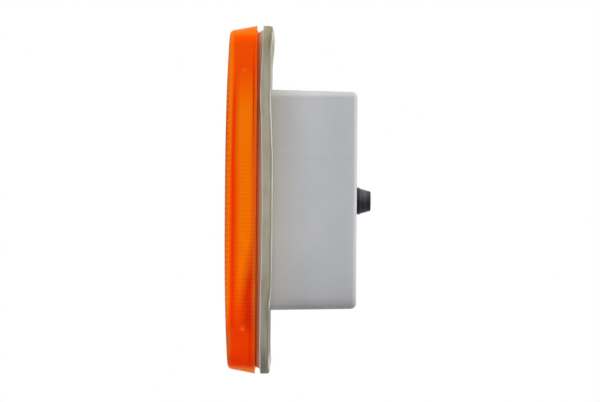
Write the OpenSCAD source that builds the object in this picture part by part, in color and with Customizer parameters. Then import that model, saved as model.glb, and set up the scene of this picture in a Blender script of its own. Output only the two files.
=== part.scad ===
// Vehicle indicator lamp: an amber lens on a moulded housing, sealed against a body panel.
// X runs across the lamp, Y from front to rear and Z up.
// The origin is the middle of the face that meets the panel.

/* [Lens] */
// Width of the lens at its rim
lens_w = 100; // [92:1:140]
// Height of the lens at its rim
lens_h = 180; // [172:1:240]
// Corner radius of the lens rim
lens_corner_r = 10; // [8:0.5:16]
// Depth of the lens at its middle, from the rim to the front
lens_depth = 16.2; // [14:0.1:24]
// How far the front bows forward at the middle
lens_bow = 2.2; // [0.5:0.1:3]
// Draft of the lens sides in degrees
lens_draft = 9.5; // [4:0.5:14]
// Radius of the edge between the sides and the front
lens_edge_r = 2.6; // [1:0.1:4]
// Thickness of the front wall
lens_front_wall = 2.6; // [1.8:0.1:3.4]
// Thickness of the outer skirt at the rim
lens_skirt = 2.2; // [1.4:0.1:2.6]
// Depth of the groove behind the skirt
lens_groove_depth = 6; // [2:0.5:7]
// Width of the rib that presses on the seal
lens_rib_w = 1.6; // [1:0.1:1.7]
// Distance between the flutes on the inside of the front
flute_pitch = 2.75; // [2:0.05:5]
// Height of the flutes
flute_height = 0.35; // [0.1:0.05:0.8]

/* [Lens screws] */
// Distance between the two lens screws
lens_screw_spacing = 134; // [130:1:144]
// Thread diameter of the lens screws
lens_screw_d = 4; // [3:0.5:5]
// Head diameter of the lens screws
lens_screw_head_d = 7.2; // [6.4:0.1:8]
// Head height of the lens screws
lens_screw_head_h = 2.4; // [1.6:0.1:3]
// Length of the lens screws under the head
lens_screw_l = 8.4; // [7:0.1:9.5]
// Bore of the wells that the screw heads sit in
well_d = 8.8; // [8.4:0.1:10]
// Wall of the wells
well_wall = 1.5; // [1:0.1:2.5]
// Thickness of the well floor
well_floor = 1.8; // [1.2:0.1:3]
// Outside diameter of the washers under the heads
washer_d = 7.8; // [7:0.1:8.2]
// Thickness of the washers
washer_t = 0.8; // [0.4:0.1:1.4]
// Outside diameter of the threaded inserts
insert_d = 5.2; // [5:0.1:7]
// Length of the threaded inserts
insert_l = 6; // [4:0.5:7]
// Height of the bosses for the lens screws above the flange
lens_boss_h = 7.6; // [7:0.1:9]
// Wall of the bosses round the inserts
lens_boss_wall = 2; // [1.2:0.1:3]

/* [Housing] */
// Thickness of the flange
flange_t = 2.4; // [1.8:0.1:4]
// How far the flange edge lies inside the rim of the lens
flange_inset = 1.2; // [0.8:0.1:1.6]
// Height of the neck in front of the flange
neck_h = 4; // [3.2:0.1:6]
// How far the front of the neck lies inside the rim of the lens
neck_inset = 3.6; // [3:0.1:4.5]
// Thickness of the neck wall
neck_wall = 3.8; // [3.2:0.1:5]
// Wall left outside the groove for the lens seal
neck_lip = 0.9; // [0.6:0.1:1.2]
// Width of the box behind the flange
box_w = 76; // [72:1:80]
// Height of the box behind the flange
box_h = 114.5; // [108:0.5:120]
// Space for the wires between the bulb holder and the grommet
wire_space = 2.45; // [1:0.05:12]
// Draft of the box sides in degrees
box_draft = 1.2; // [0:0.1:2]
// Corner radius of the box
box_corner_r = 4; // [3.2:0.1:8]
// Radius of the edge round the back of the box
box_edge_r = 2.8; // [1:0.1:3.2]
// Wall of the box
box_wall = 2; // [1.6:0.1:2.6]
// Height of the curb in front of the flange that carries the reflector
curb_h = 3; // [2:0.1:3.6]

/* [Panel fixing] */
// Distance across between the panel fixing holes
panel_spacing_x = 60; // [50:1:64]
// Distance along between the panel fixing holes
panel_spacing_z = 134; // [132:1:146]
// Diameter of the panel fixing holes
panel_hole_d = 5.5; // [4:0.1:6.5]
// Wall of the raised rings round the panel fixing holes
panel_ring_wall = 2.75; // [1.5:0.05:4]
// Height of the raised rings above the flange
panel_ring_h = 1.6; // [0.6:0.1:2.5]

/* [Gasket] */
// Thickness of the gasket between the flange and the panel
pad_t = 1.6; // [1:0.1:3]
// Height of the raised land that meets the panel
land_h = 0.7; // [0.3:0.1:0.9]
// How far the land lies inside the edge of the gasket
land_inset = 2; // [1:0.1:3]
// Thickness of the lip in front of the flange
gasket_lip_t = 1.2; // [0.8:0.1:2]
// Width of the lip that hooks over the front of the flange
gasket_lip_w = 0.8; // [0.5:0.1:1.2]
// Width of the lens seal
seal_w = 1.7; // [1.7:0.1:2.2]
// Height of the lens seal
seal_h = 2; // [1.4:0.1:2.6]
// How far the lens seal stands out of its groove
seal_proud = 0.4; // [0.2:0.1:0.8]

/* [Cable inlet] */
// Diameter of the hole for the grommet in the rear wall
grommet_neck_d = 11.2; // [9.4:0.1:12]
// Diameter of the grommet where it meets the wall
grommet_base_d = 14.8; // [12.8:0.1:18]
// Diameter of the grommet at its tip
grommet_tip_d = 10.9; // [8:0.1:12]
// Length of the grommet behind the wall
grommet_l = 8.1; // [5:0.1:14]
// Bore for the cable
grommet_bore_d = 5.2; // [3:0.1:6]
// Thickness of the grommet flange inside the wall
grommet_flange_t = 1.2; // [0.8:0.1:1.6]

/* [Reflector] */
// Clearance between the reflector bowl and the walls of the box
reflector_gap = 1.4; // [1:0.1:4]
// Wall of the reflector
reflector_t = 1.5; // [1:0.1:1.8]
// Distance across between the reflector screws
reflector_screw_spacing = 36; // [30:1:38]
// Distance from the box edge to the line of the reflector screws
reflector_screw_offset = 4.75; // [4:0.05:5]
// Thread diameter of the reflector screws
reflector_screw_d = 2.8; // [2:0.1:3]
// Length of the reflector screws under the head
reflector_screw_l = 5; // [4:0.1:5.2]

/* [Bulb] */
// Diameter of the bulb glass
bulb_d = 26.5; // [18:0.5:27]
// Length of the bulb from its contact to the top of the glass
bulb_l = 51; // [50:0.5:52]
// Distance from the contact to the locating pins
contact_to_pins = 7; // [6:0.1:8]
// Distance from the locating pins to the filament
pins_to_filament = 31.8; // [30:0.1:33]
// Diameter of the bulb cap
cap_d = 15.2; // [15:0.1:15.6]
// Length of the bulb cap
cap_l = 18.2; // [16:0.1:20]
// Diameter of the locating pins
pin_d = 2; // [1.6:0.1:2.2]
// Clearance between the glass and the front of the lens
glass_to_lens = 2.6; // [2:0.1:4]

/* [Bulb holder] */
// Clearance between the holder bracket and the locating pins of the bulb
bracket_to_pins = 0.8; // [0.5:0.1:3]
// Wall of the holder shell
shell_t = 0.6; // [0.4:0.1:0.8]
// Clearance between the bulb cap and the holder shell
cap_clearance = 0.15; // [0.1:0.05:0.3]
// Thickness of the holder bracket
bracket_t = 1; // [0.8:0.1:1.5]
// Distance from the holder shell to the middle of the rivets
rivet_offset = 4.95; // [4.6:0.05:7]
// Distance from the middle of the rivets to the edge of the bracket
rivet_edge = 3.7; // [3:0.1:6]
// Shank diameter of the holder rivets
rivet_d = 3; // [2:0.1:3.4]
// Thickness of the terminal tabs
tab_t = 0.6; // [0.4:0.1:0.8]
// Width of the terminal tabs
tab_w = 6.3; // [4.8:0.1:6.4]
// Length of the live tab from the middle of the plunger
live_tab_l = 16; // [12:0.5:24]
// Length of the earth tab from its rivet
earth_tab_l = 13.7; // [10:0.1:18]

/* [Hidden] */
$fn = 64;

// Clearance between parts that fit in each other, and how far a cut runs past a face.
fit_gap = 0.05;
panel_gap = 0.4;
over = 1;

// Steps in the arc of one corner, in one rounded edge and along the bowed sides of the lens.
corner_steps = 7;
edge_steps = 5;
side_steps = 18;
flute_steps = 4;
bow_power = 2.8;

// Depths of the stack, from the panel face forward.
flange_rear = -pad_t;
flange_front = flange_rear - flange_t;
gasket_front = flange_front - gasket_lip_t;
neck_front = flange_front - neck_h;
lens_rear = neck_front - seal_proud;
lens_front = lens_rear - lens_depth;
lens_inner = lens_front + lens_front_wall;
curb_front = flange_front - curb_h;

// Rims that follow the outline of the lens, as distances inside it.
lip_inset = flange_inset + gasket_lip_w;
seal_inset = neck_inset + neck_lip + fit_gap;
rib_inset = seal_inset + (seal_w - lens_rib_w) / 2;
cavity_inset = rib_inset + lens_rib_w;
neck_inner_inset = neck_inset + neck_wall;

// Lens screw stack, from the boss forward.
boss_front = flange_front - lens_boss_h;
well_seat = boss_front - well_floor;
head_seat = well_seat - washer_t;
insert_r = insert_d / 2;
boss_r = insert_r + fit_gap + lens_boss_wall;
screw_places = [for (side = [-1, 1]) [0, side * lens_screw_spacing / 2]];

// Panel fixing holes and reflector screws as places in X and Z.
panel_places = [for (x = [-1, 1], z = [-1, 1]) [x * panel_spacing_x / 2, z * panel_spacing_z / 2]];
reflector_screw_z = box_h / 2 + reflector_screw_offset;
reflector_places = [
    for (x = [-1, 1], z = [-1, 1]) [x * reflector_screw_spacing / 2, z * reflector_screw_z]
];
reflector_boss_r = 3.6;
reflector_lug_r = 4.4;
reflector_head_h = 1.6;
reflector_head_r = 2.6;
screw_end_gap = 0.3;

// Bulb axis, from the lens backward.
glass_front = lens_inner + flute_height + glass_to_lens;
contact_rear = glass_front + bulb_l;
pin_y = contact_rear - contact_to_pins;
filament_y = pin_y - pins_to_filament;
cap_r = cap_d / 2;
cap_t = 0.4;
cap_roll = 1.8;
cap_bevel = 0.5;
contact_h = 0.7;
contact_r = 2.4;
insulator_h = 0.5;
insulator_l = 3;
insulator_skirt = 1.5;
insulator_rear = contact_rear - contact_h;
cap_rear = insulator_rear - insulator_h;
cap_front = cap_rear - cap_l;
bulb_r = bulb_d / 2;
bulb_y = glass_front + bulb_r;
glass_t = 0.7;
glass_gap = 0.4;
glass_neck_r = cap_r - cap_t - glass_gap;
glass_neck_l = 2;
glass_in_cap = 6;
glass_rear = cap_front + glass_in_cap;
stem_to_filament = 8.3;
stem_tip = filament_y + stem_to_filament;
stem_tip_r = 1.8;
stem_neck_r = 2;
stem_foot_l = 1.5;
lead_r = 0.35;
lead_x = 3;
lead_root_x = 0.9;
lead_root_l = 1;
lead_spread_l = 4;
filament_r = 0.55;
filament_wire_r = 0.16;
filament_turns = 10;

// Bulb holder, from the locating pins forward to the back of the reflector.
shell_in_r = cap_r + cap_clearance;
shell_r = shell_in_r + shell_t;
holder_gap = 0.5;
reflector_hole_r = shell_r + holder_gap;
rivet_r = rivet_d / 2;
rivet_head_r = 2.4;
rivet_head_h = 0.9;
rivet_pad_r = 2.9;
rivet_circle_r = shell_r + rivet_offset;
rivet_angles = [60, 180, 300];
bracket_r = rivet_circle_r + rivet_edge;
bracket_rear = pin_y - pin_d / 2 - bracket_to_pins;
collar_h = 0.6;
collar_r = bracket_r + holder_gap;
collar_rear = bracket_rear - bracket_t;
shell_proud = 2.6;
slot_turn = 35;
slot_w = pin_d + 0.5;

// Reflector: a paraboloid with its focus at the filament and its mouth on the curb.
vertex_y = collar_rear - collar_h - reflector_t;
focal = vertex_y - filament_y;
mouth_y = curb_front;
mouth_r = 2 * sqrt(focal * (vertex_y - mouth_y));
bowl_w = box_w - 2 * (box_wall + reflector_gap);
bowl_h = box_h - 2 * (box_wall + reflector_gap);
bowl_steps = 16;
rim_t = 1.5;
rim_lap = 1;
rivet_pad_front = bowl_y(rivet_circle_r + rivet_pad_r);

// Bulb holder, from the contact of the bulb backward.
plunger_r = 1.3;
plunger_head_h = 0.5;
plunger_tail = 0.4;
disc_gap = 0.3;
disc_front = contact_rear + plunger_head_h;
disc_t = 0.8;
spring_l = 2.2;
spring_r = 2.6;
spring_wire_r = 0.25;
base_front = disc_front + disc_t + spring_l;
base_t = 1.6;
shell_front = vertex_y - shell_proud;
shell_rear = base_front + base_t;
tab_front = shell_rear;
tab_taper = 1;
plunger_rear = tab_front + tab_t + plunger_tail;

// Rear wall and grommet, behind the bulb holder.
grommet_inner = plunger_rear + wire_space;
wall_inner = grommet_inner + grommet_flange_t;
box_rear = wall_inner + box_wall;
grommet_neck_r = grommet_neck_d / 2;
grommet_tip = box_rear + grommet_l;
grommet_flange_w = 1.2;
grommet_bevel = 0.5;
grommet_foot_t = 0.6;
grommet_groove_w = 0.4;
grommet_groove_depth = 0.6;
grommet_groove_slope = 0.2;
grommet_tip_round = 0.9;

// Depth of the bowl's surface at radius r.
function bowl_y(r) = vertex_y - r * r / (4 * focal);

// Outline of a rounded rectangle in X and Z, anticlockwise seen from the front.
// Extra points on its upright sides let those sides follow a bow.
function outline(w, h, r, side = 1) =
    let (cx = w / 2 - r, cz = h / 2 - r)
    concat(
        corner(cx, cz, r, 0),
        corner(-cx, cz, r, 90),
        [for (k = [1:1:side - 1]) [-w / 2, cz - 2 * cz * k / side]],
        corner(-cx, -cz, r, 180),
        corner(cx, -cz, r, 270),
        [for (k = [1:1:side - 1]) [w / 2, -cz + 2 * cz * k / side]]
    );

function corner(cx, cz, r, from) =
    [for (s = [0:corner_steps]) let (a = from + 90 * s / corner_steps) [cx + r * cos(a), cz + r * sin(a)]];

// The outline of the lens rim, moved inward.
function lamp_outline(inset, side = 1) =
    outline(lens_w - 2 * inset, lens_h - 2 * inset, max(lens_corner_r - inset, 0.8), side);

// The outline of the box at the panel face, moved inward.
function box_outline(inset) =
    outline(box_w - 2 * inset, box_h - 2 * inset, max(box_corner_r - inset, 0.8));

// Steps of a drafted side that ends in a rounded edge, each as [inset, distance from the base].
function drafted_edge(depth, draft, r) =
    let (to_centre = depth - r, in_centre = to_centre * tan(draft) + r / cos(draft))
    [
        for (s = [0:edge_steps])
        let (a = draft + (90 - draft) * s / edge_steps)
        [in_centre - r * cos(a), to_centre + r * sin(a)]
    ];

// How far the front of the lens falls back at height z.
function bow_at(z) = lens_bow * pow(abs(z) / (lens_h / 2), bow_power);

// A flat outline given thickness from y0 to y1.
module slab(y0, y1, points) {
    translate([0, y1, 0])
        rotate([90, 0, 0])
            linear_extrude(y1 - y0)
                polygon(points);
}

// A round bar or hole along Y at the place [x, z].
module rod(y0, y1, r, place = [0, 0], r_end = undef) {
    translate([place.x, y0, place.y])
        rotate([-90, 0, 0])
            cylinder(h = y1 - y0, r1 = r, r2 = is_undef(r_end) ? r : r_end);
}

// A turned part on the Y axis, from points given as [radius, y].
module turned(points) {
    rotate([-90, 0, 0])
        rotate_extrude()
            polygon(points);
}

// A closed skin through rings of points, the front ring first.
// Strips across X close both ends, so that an end may follow a bow.
module skin(rings, side = 1) {
    n = len(rings[0]);
    last = (len(rings) - 1) * n;
    run = 2 * (corner_steps + 1) + side - 1;
    right_start = n - run + corner_steps + 1;
    right = [for (j = [0:run - 1]) (right_start + j) % n];
    left = [for (j = [0:run - 1]) corner_steps + run - j];
    front = [
        for (j = [0:run - 2], half = [0, 1])
        half == 0 ? [right[j], left[j], left[j + 1]] : [right[j], left[j + 1], right[j + 1]]
    ];
    rear = [for (t = front) [t[2] + last, t[1] + last, t[0] + last]];
    sides = [
        for (k = [0:n:last - n], i = [0:n - 1], half = [0, 1])
        let (a = k + i, b = k + (i + 1) % n)
        half == 0 ? [a, b, b + n] : [a, b + n, a + n]
    ];
    polyhedron(points = [for (ring = rings, p = ring) p], faces = concat(front, sides, rear));
}

// A ring of points at one depth.
function ring_at(y, points) = [for (p = points) [p.x, y, p.y]];

// A wire wound round the Y axis.
module coil(y0, y1, coil_r, wire_r, turns, steps, sides) {
    total = turns * steps;
    points = [
        for (i = [0:total], j = [0:sides - 1])
        let (a = 360 * i / steps, b = 360 * j / sides, r = coil_r + wire_r * cos(b))
        [r * cos(a), y0 + (y1 - y0) * i / total + wire_r * sin(b), r * sin(a)]
    ];
    walls = [
        for (i = [0:total - 1], j = [0:sides - 1], half = [0, 1])
        let (a = i * sides + j, b = i * sides + (j + 1) % sides)
        half == 0 ? [a, a + sides, b + sides] : [a, b + sides, b]
    ];
    ends = [[for (j = [0:sides - 1]) j], [for (j = [sides - 1:-1:0]) total * sides + j]];
    polyhedron(points = points, faces = concat(walls, ends));
}

// Outside of the lens: drafted sides, a rounded edge and a bowed front.
module lens_outer() {
    steps = concat([[0, 0]], drafted_edge(lens_depth, lens_draft, lens_edge_r));
    count = len(steps);
    skin([
        for (k = [count - 1:-1:0])
        let (step = steps[k])
        [
            for (p = lamp_outline(step[0], side_steps))
            [p.x, lens_rear - step[1] + bow_at(p.y) * step[1] / lens_depth, p.y]
        ]
    ], side_steps);
}

// Hollow of the lens: upright sides, and a front with a row of convex flutes.
module lens_hollow() {
    half = lens_h / 2 - cavity_inset + over;
    count = ceil(2 * half / flute_pitch) * flute_steps;
    front = [
        for (k = [0:count])
        let (z = -half + 2 * half * k / count)
        [lens_inner + bow_at(z) + flute_height * abs(sin(180 * z / flute_pitch)), z]
    ];
    intersection() {
        slab(lens_front, lens_rear + over, lamp_outline(cavity_inset));
        translate([-lens_w / 2, 0, 0])
            rotate([90, 0, 90])
                linear_extrude(lens_w)
                    polygon(concat([[lens_rear + 2 * over, -half]], front, [[lens_rear + 2 * over, half]]));
    }
}

// Groove behind the skirt of the lens, which keeps its rim thin.
module lens_rim_groove() {
    slope = tan(lens_draft);
    difference() {
        skin([
            ring_at(lens_rear - lens_groove_depth, lamp_outline(lens_skirt + lens_groove_depth * slope)),
            ring_at(lens_rear + over, lamp_outline(lens_skirt - over * slope))
        ]);
        slab(lens_rear - lens_groove_depth - over, lens_rear + 2 * over, lamp_outline(rib_inset));
    }
}

module lens() {
    color([0.95, 0.38, 0.02])
        difference() {
            lens_outer();
            difference() {
                lens_hollow();
                for (place = screw_places)
                    rod(lens_front, boss_front, well_d / 2 + well_wall, place);
            }
            lens_rim_groove();
            for (place = screw_places) {
                rod(lens_front - over, well_seat, well_d / 2, place);
                rod(well_seat - over, boss_front + over, lens_screw_d / 2 + 0.3, place);
            }
        }
}

// A pan head screw along Y with a cross recess, its head towards the front.
module pan_screw(place, seat, head_r, head_h, thread_r, length) {
    slot = head_r / 4;
    recess = head_h * 0.6;
    difference() {
        union() {
            rod(seat - head_h, seat - head_h * 0.55, head_r * 0.82, place, head_r);
            rod(seat - head_h * 0.55, seat, head_r, place);
            rod(seat, seat + length, thread_r, place);
        }
        for (turn = [0, 90])
            translate([place.x, seat - head_h, place.y])
                rotate([0, turn, 0])
                    cube([head_r * 1.1, 2 * recess, slot], center = true);
    }
}

module lens_screws() {
    color([0.8, 0.8, 0.78])
        for (place = screw_places)
            pan_screw(place, head_seat, lens_screw_head_d / 2, lens_screw_head_h,
                lens_screw_d / 2, lens_screw_l);
}

module screw_washers() {
    color([0.1, 0.1, 0.1])
        for (place = screw_places)
            difference() {
                rod(head_seat, well_seat, washer_d / 2, place);
                rod(head_seat - over, well_seat + over, lens_screw_d / 2 + fit_gap, place);
            }
}

module screw_inserts() {
    color([0.78, 0.62, 0.3])
        for (place = screw_places)
            difference() {
                rod(boss_front, boss_front + insert_l, insert_r, place);
                rod(boss_front - over, boss_front + insert_l + over, lens_screw_d / 2 + fit_gap, place);
            }
}

module lens_seal() {
    color([0.12, 0.12, 0.12])
        difference() {
            slab(lens_rear, lens_rear + seal_h, lamp_outline(seal_inset));
            slab(lens_rear - over, lens_rear + seal_h + over, lamp_outline(seal_inset + seal_w));
        }
}

// Outside of the box, from the curb in front of the flange to its rounded rear edge.
module box_outer() {
    edge = drafted_edge(box_rear, box_draft, box_edge_r);
    skin(concat(
        [ring_at(curb_front, box_outline(curb_front * tan(box_draft)))],
        [for (step = edge) ring_at(step[1], box_outline(step[0]))]
    ));
}

// Inside of the box.
module box_inner() {
    edge = drafted_edge(wall_inner, box_draft, box_edge_r / 2);
    front = curb_front - over;
    skin(concat(
        [ring_at(front, box_outline(box_wall + front * tan(box_draft)))],
        [for (step = edge) ring_at(step[1], box_outline(box_wall + step[0]))]
    ));
}

// The neck flares from the lens seal to the lip of the gasket.
module neck() {
    difference() {
        union() {
            skin([
                ring_at(neck_front, lamp_outline(neck_inset)),
                ring_at(gasket_front, lamp_outline(lip_inset + fit_gap))
            ]);
            slab(gasket_front, flange_front + flange_t / 2, lamp_outline(lip_inset + fit_gap));
        }
        slab(neck_front - over, flange_rear, lamp_outline(neck_inner_inset));
        difference() {
            slab(neck_front - over, lens_rear + seal_h, lamp_outline(seal_inset - fit_gap));
            slab(neck_front - 2 * over, lens_rear + seal_h + over,
                lamp_outline(seal_inset + seal_w + fit_gap));
        }
    }
}

module housing() {
    color([0.7, 0.7, 0.71])
        difference() {
            union() {
                neck();
                slab(flange_front, flange_rear, lamp_outline(flange_inset));
                box_outer();
                for (place = screw_places)
                    rod(boss_front, flange_rear - flange_t / 2, boss_r, place);
                for (place = panel_places)
                    rod(flange_front - panel_ring_h, flange_rear - flange_t / 2,
                        panel_hole_d / 2 + panel_ring_wall, place);
                for (place = reflector_places)
                    rod(curb_front, flange_rear - flange_t / 2, reflector_boss_r, place);
            }
            box_inner();
            for (place = screw_places) {
                rod(boss_front - over, boss_front + insert_l, insert_r + fit_gap, place);
                rod(boss_front, head_seat + lens_screw_l + screw_end_gap, lens_screw_d / 2 + fit_gap,
                    place);
            }
            for (place = panel_places)
                rod(curb_front - over, flange_rear + over, panel_hole_d / 2, place);
            for (place = reflector_places)
                rod(curb_front - over, mouth_y - rim_t + reflector_screw_l + screw_end_gap,
                    reflector_screw_d / 2 + fit_gap, place);
            rod(wall_inner - over, box_rear + over, grommet_neck_r, [0, 0]);
        }
}

module panel_gasket() {
    color([0.58, 0.57, 0.5])
        difference() {
            union() {
                slab(gasket_front, -land_h, lamp_outline(0));
                slab(flange_rear, 0, lamp_outline(land_inset));
            }
            slab(gasket_front - over, flange_front + fit_gap, lamp_outline(lip_inset));
            slab(flange_front, flange_rear, lamp_outline(flange_inset - fit_gap));
            slab(flange_rear - over, over, box_outline(-panel_gap));
            for (place = panel_places)
                rod(flange_rear - over, over, panel_hole_d / 2, place);
        }
}

// A tapered rubber boot with a groove that snaps into the rear wall.
module grommet() {
    base_r = grommet_base_d / 2;
    tip_r = grommet_tip_d / 2;
    bore_r = grommet_bore_d / 2;
    inner_r = grommet_neck_r + grommet_flange_w;
    groove_r = base_r - grommet_groove_depth;
    groove_front = box_rear + grommet_foot_t + grommet_groove_slope;
    groove_rear = groove_front + grommet_groove_w;
    color([0.16, 0.16, 0.17])
        turned(concat([
            [bore_r, grommet_inner],
            [inner_r - grommet_bevel, grommet_inner],
            [inner_r, grommet_inner + grommet_bevel],
            [inner_r, wall_inner],
            [grommet_neck_r - fit_gap, wall_inner],
            [grommet_neck_r - fit_gap, box_rear],
            [base_r, box_rear],
            [base_r, box_rear + grommet_foot_t],
            [groove_r, groove_front],
            [groove_r, groove_rear],
            [base_r - grommet_groove_slope, groove_rear + grommet_groove_slope]
        ], [
            for (a = [0, 45, 90])
            [tip_r - grommet_tip_round * (1 - cos(a)), grommet_tip - grommet_tip_round * (1 - sin(a))]
        ], [
            [bore_r, grommet_tip]
        ]));
}

// Mouth of the bowl: a circle cut off at its sides, and at its ends where it is larger than the box.
module mouth(y0, y1, r) {
    intersection() {
        rod(y0, y1, r);
        bowl_limits(y0, y1, reflector_t);
    }
}

// The block of space that the bowl may fill, moved inward.
module bowl_limits(y0, y1, inset) {
    translate([inset - bowl_w / 2, y0, inset - bowl_h / 2])
        cube([bowl_w - 2 * inset, y1 - y0, bowl_h - 2 * inset]);
}

module reflector() {
    inner = [for (s = [0:bowl_steps]) let (r = mouth_r * s / bowl_steps) [r, bowl_y(r)]];
    outer_r = mouth_r + reflector_t;
    outer = [
        for (s = [bowl_steps:-1:0])
        let (r = outer_r * s / bowl_steps)
        [r, min(bowl_y(r) + reflector_t * sqrt(1 + pow(r / (2 * focal), 2)), collar_rear)]
    ];
    color([0.83, 0.84, 0.86])
        difference() {
            union() {
                difference() {
                    intersection() {
                        union() {
                            turned(concat([[0, mouth_y]], [[outer_r, mouth_y]], outer));
                            rod(vertex_y - 2 * reflector_t, collar_rear, collar_r);
                        }
                        bowl_limits(mouth_y, collar_rear + over, 0);
                    }
                    intersection() {
                        turned(concat([[0, mouth_y - over]], [[mouth_r, mouth_y - over]], [
                            for (s = [bowl_steps:-1:0]) inner[s]
                        ]));
                        bowl_limits(mouth_y - over, collar_rear + over, reflector_t);
                    }
                }
                difference() {
                    union() {
                        slab(mouth_y - rim_t, mouth_y, box_outline(-rim_lap));
                        for (place = reflector_places) {
                            rod(mouth_y - rim_t, mouth_y, reflector_lug_r, place);
                            translate([place.x - reflector_lug_r, mouth_y - rim_t,
                                place.y > 0 ? place.y - reflector_lug_r : place.y])
                                cube([2 * reflector_lug_r, rim_t, reflector_lug_r]);
                        }
                    }
                    mouth(mouth_y - rim_t - over, mouth_y + over, mouth_r - reflector_t);
                }
                for (a = rivet_angles)
                    rod(rivet_pad_front, collar_rear, rivet_pad_r, rivet_place(a));
            }
            rod(mouth_y, collar_rear + over, reflector_hole_r);
            for (a = rivet_angles)
                rod(rivet_pad_front - over, collar_rear + over, rivet_r + fit_gap, rivet_place(a));
            for (place = reflector_places)
                rod(mouth_y - rim_t - over, mouth_y + over, reflector_screw_d / 2 + 0.2, place);
        }
}

function rivet_place(a) = [rivet_circle_r * cos(a), rivet_circle_r * sin(a)];

module reflector_screws() {
    color([0.75, 0.75, 0.72])
        for (place = reflector_places)
            pan_screw(place, mouth_y - rim_t, reflector_head_r, reflector_head_h,
                reflector_screw_d / 2, reflector_screw_l);
}

module holder_bracket() {
    color([0.74, 0.72, 0.66])
        difference() {
            rod(collar_rear, bracket_rear, bracket_r);
            rod(collar_rear - over, bracket_rear + over, shell_r + fit_gap);
            for (a = rivet_angles)
                rod(collar_rear - over, bracket_rear + over, rivet_r + fit_gap, rivet_place(a));
        }
}

// The rivet at 180 degrees also clamps the earth terminal.
module holder_rivets() {
    color([0.8, 0.8, 0.78])
        for (a = rivet_angles) {
            seat = bracket_rear + (a == 180 ? tab_t : 0);
            place = rivet_place(a);
            front = rivet_pad_front - rivet_head_h;
            rear = seat + rivet_head_h;
            rod(front, rivet_pad_front, rivet_head_r * 0.8, place, rivet_head_r);
            rod(front, rear, rivet_r, place);
            rod(seat, rear, rivet_head_r, place, rivet_head_r * 0.8);
        }
}

// A slice of a disc between two angles.
function slice(r, from, to) =
    concat([[0, 0]], [for (s = [0:4]) let (a = from + (to - from) * s / 4) [r * cos(a), r * sin(a)]]);

// A tube with two bayonet slots above and below, each running back and then turning to hold a pin.
module holder_shell() {
    reach = shell_r + 2 * over;
    seat_angle = asin(slot_w / 2 / shell_r);
    slot_rear = pin_y + slot_w / 2;
    color([0.74, 0.72, 0.66])
        difference() {
            rod(shell_front, shell_rear, shell_r);
            rod(shell_front - over, shell_rear + over, shell_in_r);
            for (pin = [90, 270]) {
                rotate([0, -pin - slot_turn, 0])
                    translate([0, shell_front - over, -slot_w / 2])
                        cube([reach, slot_rear - shell_front + over, slot_w]);
                slab(slot_rear - slot_w, slot_rear - fit_gap,
                    slice(reach, pin - seat_angle, pin + slot_turn + seat_angle / 2));
            }
        }
}

module holder_base() {
    color([0.35, 0.2, 0.12])
        difference() {
            rod(base_front, shell_rear, shell_in_r - fit_gap);
            rod(base_front - over, shell_rear + over, plunger_r + fit_gap);
        }
}

module contact_disc() {
    color([0.45, 0.28, 0.16])
        difference() {
            rod(disc_front, disc_front + disc_t, shell_in_r - disc_gap);
            rod(disc_front - over, disc_front + disc_t + over, plunger_r + fit_gap);
        }
}

module contact_plunger() {
    color([0.8, 0.65, 0.3]) {
        rod(contact_rear, disc_front, contact_r);
        rod(disc_front, plunger_rear, plunger_r);
    }
}

module contact_spring() {
    front = disc_front + disc_t + spring_wire_r;
    color([0.7, 0.7, 0.7])
        coil(front, base_front - spring_wire_r, spring_r, spring_wire_r, 3, 20, 8);
}

// A flat tab with a hole over its fixing, and a tapered blade end.
module tab(hole_x, end_x, y, hole_r) {
    side = end_x > hole_x ? 1 : -1;
    root = hole_x - side * tab_w / 2;
    difference() {
        slab(y, y + tab_t, side > 0 ? blade(root, end_x) : mirrored(blade(-root, -end_x)));
        rod(y - over, y + tab_t + over, hole_r, [hole_x, 0]);
    }
}

function blade(x0, x1) = [
    [x0, -tab_w / 2], [x1 - tab_taper, -tab_w / 2], [x1, -tab_w / 2 + tab_taper],
    [x1, tab_w / 2 - tab_taper], [x1 - tab_taper, tab_w / 2], [x0, tab_w / 2]
];

function mirrored(points) = [for (i = [len(points) - 1:-1:0]) [-points[i].x, points[i].y]];

module live_terminal() {
    color([0.8, 0.65, 0.3])
        tab(0, live_tab_l, tab_front, plunger_r + fit_gap);
}

module earth_terminal() {
    color([0.8, 0.65, 0.3])
        tab(-rivet_circle_r, -rivet_circle_r - earth_tab_l, bracket_rear, rivet_r + fit_gap);
}

// Outside of the glass, shrunk by a wall: a ball that narrows to a neck inside the cap.
function glass_profile(shrink) =
    let (r = bulb_r - shrink, neck = glass_neck_r - shrink, last = 150)
    concat(
        [for (s = [0:14]) let (a = last * s / 14) [r * sin(a), bulb_y - r * cos(a)]],
        [[neck, cap_front - glass_neck_l], [neck, cap_front]]
    );

module bulb_glass() {
    color([0.85, 0.9, 0.92, 0.5])
        difference() {
            turned(concat(glass_profile(0), [[glass_neck_r, glass_rear], [0, glass_rear]]));
            turned(concat(glass_profile(glass_t), [
                [glass_neck_r - glass_t, glass_rear + over],
                [0, glass_rear + over]
            ]));
        }
}

module bulb_stem() {
    stem_r = glass_neck_r - glass_t - fit_gap;
    color([0.8, 0.86, 0.88])
        difference() {
            turned([
                [0, stem_tip], [stem_tip_r, stem_tip], [stem_neck_r, cap_front],
                [stem_r, glass_rear - stem_foot_l], [stem_r, glass_rear], [0, glass_rear]
            ]);
            for (side = [-1, 1])
                rod(stem_tip - over, glass_rear + over, lead_r + fit_gap, [side * lead_root_x, 0]);
        }
}

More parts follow.
